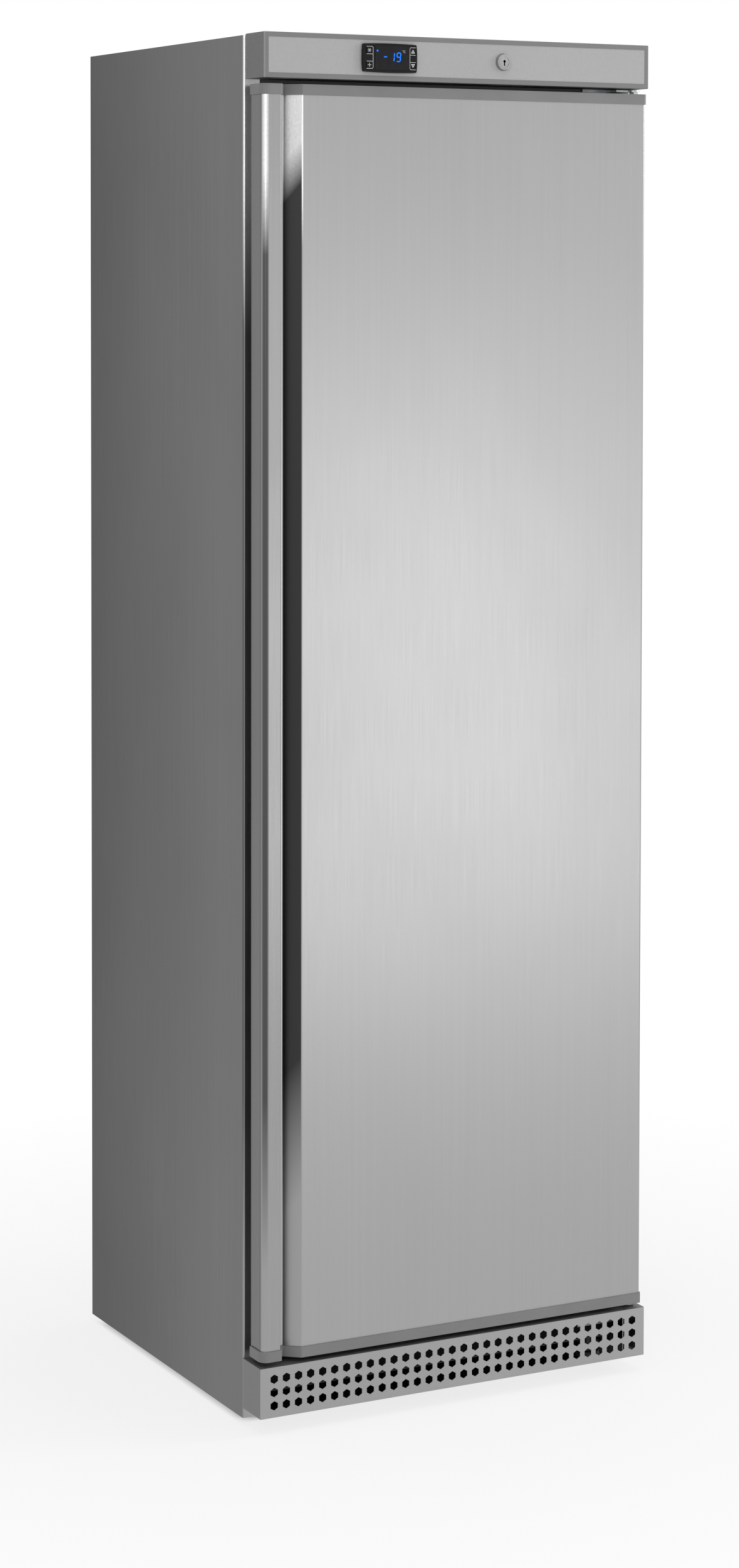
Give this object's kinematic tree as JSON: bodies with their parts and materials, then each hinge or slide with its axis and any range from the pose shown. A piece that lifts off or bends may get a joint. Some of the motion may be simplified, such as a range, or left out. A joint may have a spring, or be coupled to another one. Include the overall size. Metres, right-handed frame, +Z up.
{
  "type": "upright freezer",
  "caption": "Tall free-standing freezer cabinet with a right-hung steel door, a full-height recessed edge grip, a top control fascia with lock and a perforated kick grille.",
  "frame": {"origin": "on the floor, in the middle of the bounding box", "axes": "+Z up, the door and fascia face -Y, the hinge side is +X"},
  "size_m": [0.6, 0.59, 1.862],
  "materials": {
    "steel_side": "brushed, vertical grain",
    "steel_door": "brushed, vertical grain",
    "steel_handle": "brushed, vertical grain",
    "galvanised": "galvanised sheet, dull",
    "white_liner": "smooth moulded white",
    "foam": "closed-cell insulation",
    "fascia_grey": "satin dark grey",
    "inlay_grey": "satin light grey",
    "black_bezel": "moulded black",
    "dark_window": "smooth dark window",
    "key_black": "satin black",
    "cap_grey": "fine-grained grey",
    "grille_grey": "satin grey",
    "lock_chrome": "polished",
    "zinc": "zinc-plated",
    "evaporator_paint": "white-grey lacquer",
    "copper": "drawn copper",
    "compressor_black": "satin black",
    "fin_aluminium": "thin sheet",
    "black_plastic": "moulded black",
    "black_rubber": "moulded rubber",
    "grey_gasket": "soft extruded grey",
    "white_plastic": "moulded white",
    "wire_sleeve": "woven sleeve"
  },
  "bodies": {
    "cabinet": {"left_side_panel": "steel_side", "right_side_panel": "steel_side", "top_panel": "steel_side", "back_panel": "galvanised", "front_frame": "steel_side", "base_pan": "galvanised", "inner_liner": "white_liner", "cabinet_foam": "foam", "base_frame": "galvanised", "roller_forks": "zinc", "evaporator_shelves": "evaporator_paint", "evaporator_links": "evaporator_paint", "shelf_supports": "white_plastic", "air_probe": "black_plastic", "fascia_frame": "fascia_grey", "fascia_inlay": "inlay_grey", "controller_housing": "black_bezel", "display_window": "dark_window", "lock_housing": "lock_chrome", "lock_nut": "zinc", "top_hinge_bracket": "zinc", "bottom_hinge_bracket": "zinc", "top_hinge_pin": "zinc", "bottom_hinge_pin": "zinc", "kick_grille": "grille_grey", "compressor": "compressor_black", "compressor_grommets": "black_rubber", "compressor_bolts": "zinc", "relay_box": "black_plastic", "condenser": "fin_aluminium", "fan_shroud": "galvanised", "fan_motor": "black_plastic", "filter_drier": "copper", "discharge_pipe": "copper", "suction_pipe": "copper", "capillary_tube": "copper", "wiring_loom": "wire_sleeve", "rear_cover": "galvanised", "cable_gland": "black_plastic", "wall_spacers": "black_plastic", "screws": "zinc"},
    "door": {"door_skin": "steel_door", "door_handle": "steel_handle", "door_top_cap": "cap_grey", "door_bottom_cap": "cap_grey", "door_foam": "foam", "door_inner_panel": "white_liner", "door_gasket": "grey_gasket", "hinge_bushes": "white_plastic"},
    "lock": {"lock_plug": "lock_chrome", "lock_cam": "zinc"},
    "key_left_upper": {"key_left_upper": "key_black"},
    "key_left_lower": {"key_left_lower": "key_black"},
    "key_up": {"key_up": "key_black"},
    "key_down": {"key_down": "key_black"},
    "fan": {"fan_blade": "black_plastic"},
    "left_roller": {"left_roller": "black_plastic"},
    "right_roller": {"right_roller": "black_plastic"},
    "left_foot": {"left_foot": "black_plastic"},
    "right_foot": {"right_foot": "black_plastic"}
  },
  "joints": [
    {"name": "door_hinge", "type": "hinge", "parent": "cabinet", "child": "door", "pos_m": [0.286, -0.26695, 0.95], "axis": [0, 0, 1], "range_deg": [0, 120]},
    {"name": "lock_turn", "type": "hinge", "parent": "cabinet", "child": "lock", "pos_m": [0.064, -0.26555, 1.832], "axis": [0, 1, 0], "range_deg": [0, 90]},
    {"name": "key_left_upper_press", "type": "slide", "parent": "cabinet", "child": "key_left_upper", "axis": [0, 1, 0], "range_m": [0, 0.0005], "stiffness_N_per_m": 400},
    {"name": "key_left_lower_press", "type": "slide", "parent": "cabinet", "child": "key_left_lower", "axis": [0, 1, 0], "range_m": [0, 0.0005], "stiffness_N_per_m": 400},
    {"name": "key_up_press", "type": "slide", "parent": "cabinet", "child": "key_up", "axis": [0, 1, 0], "range_m": [0, 0.0005], "stiffness_N_per_m": 400},
    {"name": "key_down_press", "type": "slide", "parent": "cabinet", "child": "key_down", "axis": [0, 1, 0], "range_m": [0, 0.0005], "stiffness_N_per_m": 400},
    {"name": "fan_spin", "type": "hinge", "parent": "cabinet", "child": "fan", "pos_m": [-0.1925, 0.17905, 0.122], "axis": [1, 0, 0], "continuous": true},
    {"name": "left_roller_spin", "type": "hinge", "parent": "cabinet", "child": "left_roller", "pos_m": [-0.268, 0.24005, 0.017], "axis": [1, 0, 0], "continuous": true},
    {"name": "right_roller_spin", "type": "hinge", "parent": "cabinet", "child": "right_roller", "pos_m": [0.268, 0.24005, 0.017], "axis": [1, 0, 0], "continuous": true},
    {"name": "left_foot_screw", "type": "slide", "parent": "cabinet", "child": "left_foot", "axis": [0, 0, 1], "range_m": [-0.008, 0.008]},
    {"name": "right_foot_screw", "type": "slide", "parent": "cabinet", "child": "right_foot", "axis": [0, 0, 1], "range_m": [-0.008, 0.008]}
  ]
}
